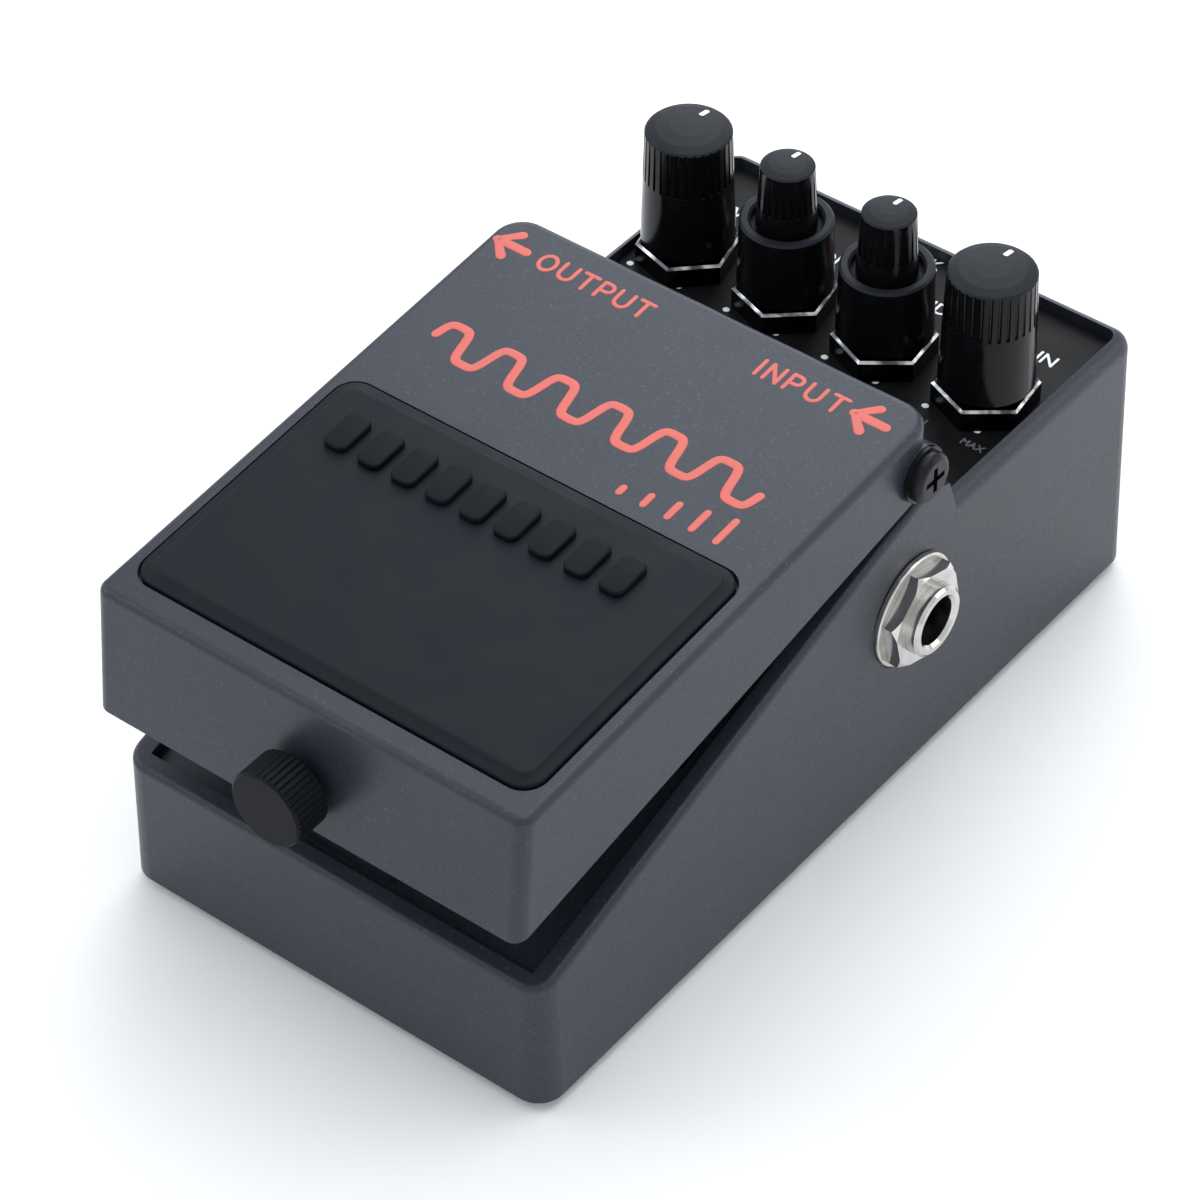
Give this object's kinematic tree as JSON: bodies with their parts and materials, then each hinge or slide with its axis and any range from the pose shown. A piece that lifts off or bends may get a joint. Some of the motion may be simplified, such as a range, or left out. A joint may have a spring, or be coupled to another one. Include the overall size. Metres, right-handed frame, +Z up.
{
  "type": "guitar effects pedal",
  "caption": "Compact guitar effects pedal: sloped die-cast box, hinged sprung treadle with rubber pad, rotary controls, plug sockets on both sides and a thumb screw.",
  "frame": {"origin": "on the floor, under the middle of the casting", "axes": "+X towards the input socket side, +Y towards the knobs and the rear wall, +Z up"},
  "size_m": [0.0716, 0.1303, 0.0596],
  "materials": {
    "casting": "charcoal powder coat, fine sparkle, satin",
    "steel_plate": "black painted steel",
    "black_screw": "black oxide",
    "sole_rubber": "matte black",
    "pad_rubber": "matte black",
    "striker_rubber": "matte",
    "board": "green solder mask",
    "components": "moulded black",
    "zinc_screw": "zinc plated",
    "ribbon": "grey flat cable",
    "insulator": "fibre sheet",
    "socket_plastic": "moulded black",
    "nickel": "nickel plated",
    "panel": "black satin, printed scale",
    "lamp": "clear red",
    "bezel": "black",
    "pot_metal": "plated steel",
    "shaft_metal": "turned",
    "pot_nut": "black nickel",
    "knob_plastic": "black, satin cap",
    "battery_case": "printed steel can",
    "snap_plastic": "black vinyl",
    "nylon": "natural nylon",
    "spring_steel": "spring steel",
    "switch_plastic": "moulded black",
    "plunger_plastic": "white acetal",
    "thumb_metal": "black, satin, knurled"
  },
  "bodies": {
    "chassis": {"battery": "battery_case", "battery_leads": "snap_plastic", "battery_snap": "snap_plastic", "board_components": "components", "board_ribbon": "ribbon", "board_screws": "zinc_screw", "bottom_plate": "steel_plate", "bottom_plate_screws": "black_screw", "chassis": "casting", "check_lamp": "lamp", "control_panel": "panel", "dc_socket_body": "socket_plastic", "dc_socket_pin": "nickel", "drive_pot": "pot_metal", "eq_pot": "pot_metal", "foot_switch": "switch_plastic", "guide_bush": "nylon", "hinge_screws": "black_screw", "hinge_washers": "black_screw", "input_socket_body": "socket_plastic", "input_socket_bushing": "nickel", "input_socket_nut": "nickel", "input_socket_washer": "nickel", "insulating_sheet": "insulator", "lamp_bezel": "bezel", "level_pot": "pot_metal", "main_board": "board", "mid_pot": "pot_metal", "output_socket_body": "socket_plastic", "output_socket_bushing": "nickel", "output_socket_nut": "nickel", "output_socket_washer": "nickel", "pot_board": "board", "pot_nuts": "pot_nut", "return_spring": "spring_steel", "rubber_sole": "sole_rubber"},
    "treadle": {"treadle_cover": "casting", "foot_pad": "pad_rubber", "striker": "striker_rubber"},
    "hinge_carrier": {"hinge_bushes": "nylon", "spring_cap": "spring_steel"},
    "screw_carrier": {"screw_clip": "spring_steel"},
    "thumb_screw": {"thumb_screw": "thumb_metal"},
    "plunger": {"switch_plunger": "plunger_plastic"},
    "level_control": {"level_knob": "knob_plastic", "level_shaft": "shaft_metal"},
    "eq_ring_control": {"eq_ring_knob": "knob_plastic", "eq_outer_shaft": "shaft_metal"},
    "eq_cap_control": {"eq_cap_knob": "knob_plastic", "eq_inner_shaft": "shaft_metal"},
    "mid_ring_control": {"mid_ring_knob": "knob_plastic", "mid_outer_shaft": "shaft_metal"},
    "mid_cap_control": {"mid_cap_knob": "knob_plastic", "mid_inner_shaft": "shaft_metal"},
    "drive_control": {"drive_knob": "knob_plastic", "drive_shaft": "shaft_metal"}
  },
  "joints": [
    {"name": "treadle_open", "type": "hinge", "parent": "hinge_carrier", "child": "treadle", "pos_m": [0, 0.012, 0.0486], "axis": [-1, 0, 0], "range_deg": [0, 85]},
    {"name": "treadle_press", "type": "hinge", "parent": "chassis", "child": "hinge_carrier", "pos_m": [0, 0.012, 0.0486], "axis": [1, 0, 0], "range_deg": [0, 3], "stiffness_Nm_per_rad": 4, "springref_deg": -4.58, "deforming": ["return_spring"]},
    {"name": "plunger_travel", "type": "slide", "parent": "chassis", "child": "plunger", "axis": [0, 0, -1], "range_m": [0, 0.0026]},
    {"name": "thumb_screw_travel", "type": "slide", "parent": "treadle", "child": "screw_carrier", "axis": [0, -1, 0], "range_m": [0, 0.00175]},
    {"name": "thumb_screw_turn", "type": "hinge", "parent": "screw_carrier", "child": "thumb_screw", "pos_m": [0, -0.0642, 0.0382], "axis": [0, -1, 0], "range_deg": [0, 900.1]},
    {"name": "level_turn", "type": "hinge", "parent": "chassis", "child": "level_control", "pos_m": [-0.02295, 0.039, 0.045], "axis": [0, 0, -1], "range_deg": [-150, 150]},
    {"name": "eq_ring_turn", "type": "hinge", "parent": "chassis", "child": "eq_ring_control", "pos_m": [-0.00765, 0.039, 0.045], "axis": [0, 0, -1], "range_deg": [-150, 150]},
    {"name": "eq_cap_turn", "type": "hinge", "parent": "chassis", "child": "eq_cap_control", "pos_m": [-0.00765, 0.039, 0.045], "axis": [0, 0, -1], "range_deg": [-150, 150]},
    {"name": "mid_ring_turn", "type": "hinge", "parent": "chassis", "child": "mid_ring_control", "pos_m": [0.00765, 0.039, 0.045], "axis": [0, 0, -1], "range_deg": [-150, 150]},
    {"name": "mid_cap_turn", "type": "hinge", "parent": "chassis", "child": "mid_cap_control", "pos_m": [0.00765, 0.039, 0.045], "axis": [0, 0, -1], "range_deg": [-150, 150]},
    {"name": "drive_turn", "type": "hinge", "parent": "chassis", "child": "drive_control", "pos_m": [0.02295, 0.039, 0.045], "axis": [0, 0, -1], "range_deg": [-150, 150]}
  ],
  "couplings": [
    {"joint": "plunger_travel", "follows": "treadle_press", "m_per_rad": 0.0482},
    {"joint": "thumb_screw_turn", "follows": "thumb_screw_travel", "rad_per_m": 8976}
  ]
}
